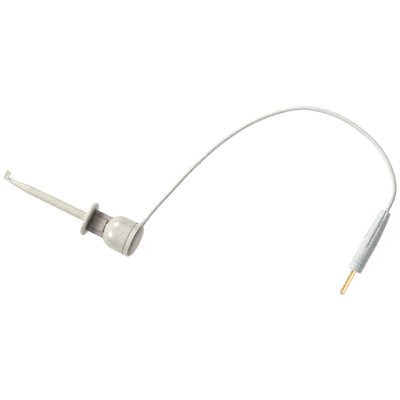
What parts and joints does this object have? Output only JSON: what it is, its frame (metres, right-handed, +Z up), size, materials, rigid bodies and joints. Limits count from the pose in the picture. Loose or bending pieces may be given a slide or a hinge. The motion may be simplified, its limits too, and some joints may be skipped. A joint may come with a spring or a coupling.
{
  "type": "hook test clip lead",
  "caption": "Mini hook test clip with a spring press head, on a short flexible lead that ends in a split pin plug with a fluted boot.",
  "frame": {"origin": "on the resting plane, under the middle of the clip's length, without the lead and plug", "axes": "+X along the clip from its hook to its press head, +Y towards the side the lead leaves, +Z up"},
  "size_m": [0.1422, 0.0849, 0.0137],
  "materials": {
    "barrel_plastic": "satin",
    "flange_plastic": "satin",
    "stem_plastic": "satin",
    "head_plastic": "satin",
    "band_plastic": "satin",
    "cap_plastic": "satin",
    "collar_plastic": "moulded",
    "contact_metal": "plated",
    "terminal_brass": "machined",
    "spring_steel": "drawn",
    "conductor_copper": "stranded",
    "lead_jacket": "soft",
    "boot_rubber": "soft",
    "insulator_plastic": "satin",
    "pin_gold": "gold plated"
  },
  "bodies": {
    "head": {"plunger_head": "head_plastic", "head_band": "band_plastic", "end_cap": "cap_plastic", "hook_contact": "contact_metal", "shank_terminal": "terminal_brass", "return_spring": "spring_steel", "head_core": "conductor_copper", "lead_jacket": "lead_jacket", "plug_core": "conductor_copper", "plug_boot": "boot_rubber", "plug_insulator": "insulator_plastic", "contact_pin": "pin_gold"},
    "nose": {"nose_barrel": "barrel_plastic", "finger_flange": "flange_plastic", "guide_stem": "stem_plastic", "stop_collar": "collar_plastic"}
  },
  "joints": [
    {"name": "press", "type": "slide", "parent": "head", "child": "nose", "axis": [1, 0, 0], "range_m": [0, 0.006], "stiffness_N_per_m": 400, "springref_m": -0.004, "deforming": ["return_spring"]}
  ]
}
